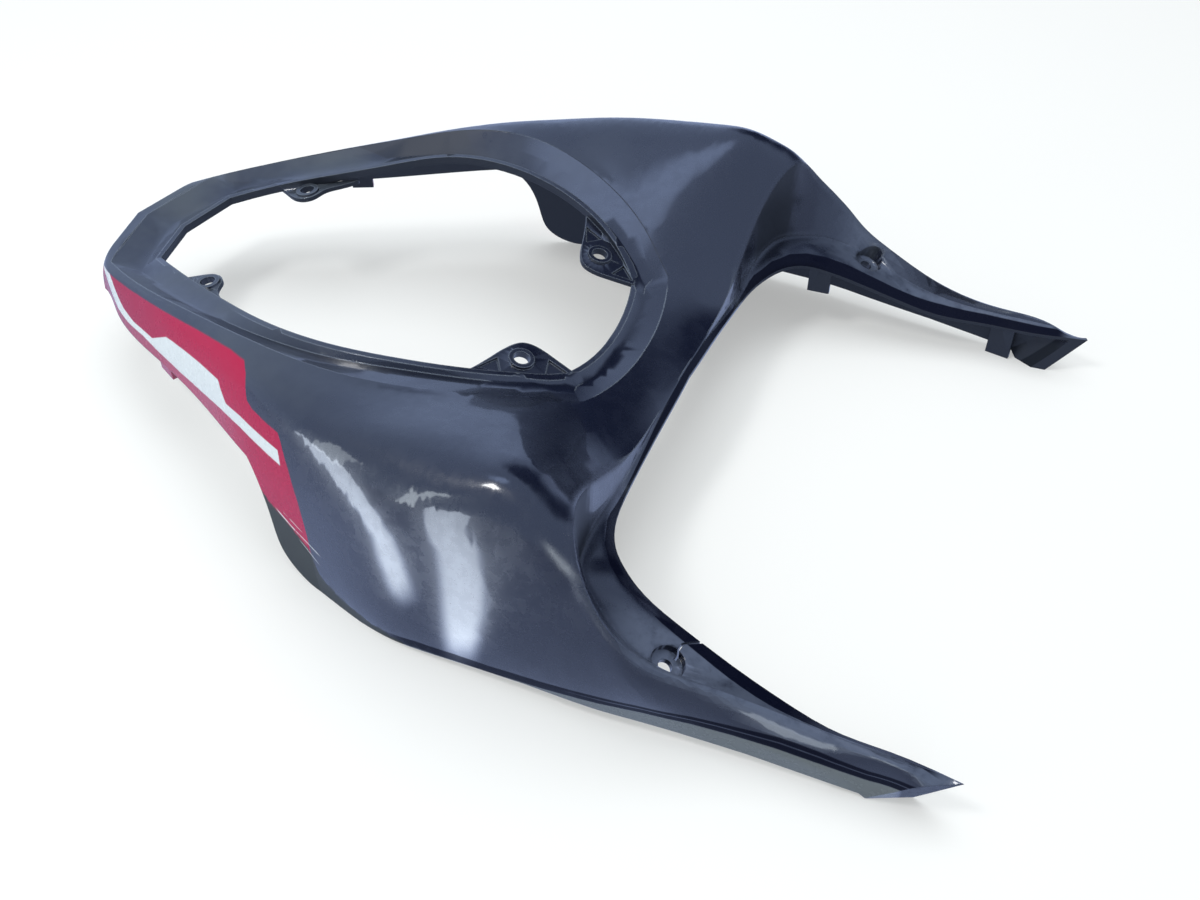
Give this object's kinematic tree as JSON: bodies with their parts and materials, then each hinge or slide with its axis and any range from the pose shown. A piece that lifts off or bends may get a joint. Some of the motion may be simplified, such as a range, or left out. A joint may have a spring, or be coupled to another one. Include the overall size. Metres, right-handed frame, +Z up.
{
  "type": "motorcycle tail fairing",
  "caption": "One-piece moulded tail fairing with a framed pillion seat opening, raised hips and two forward legs that reach round the rider's seat.",
  "frame": {"origin": "on the middle plane, half way along the fairing, at the level of the surface that it rests on", "axes": "+X forward towards the leg tips, +Y to the left side, +Z up"},
  "size_m": [0.5595, 0.372, 0.1198],
  "materials": {
    "moulding": "glossy blue-black paint on moulded plastic, dusty and scuffed"
  },
  "bodies": {
    "root": {"tail_fairing": "moulding"}
  },
  "joints": []
}
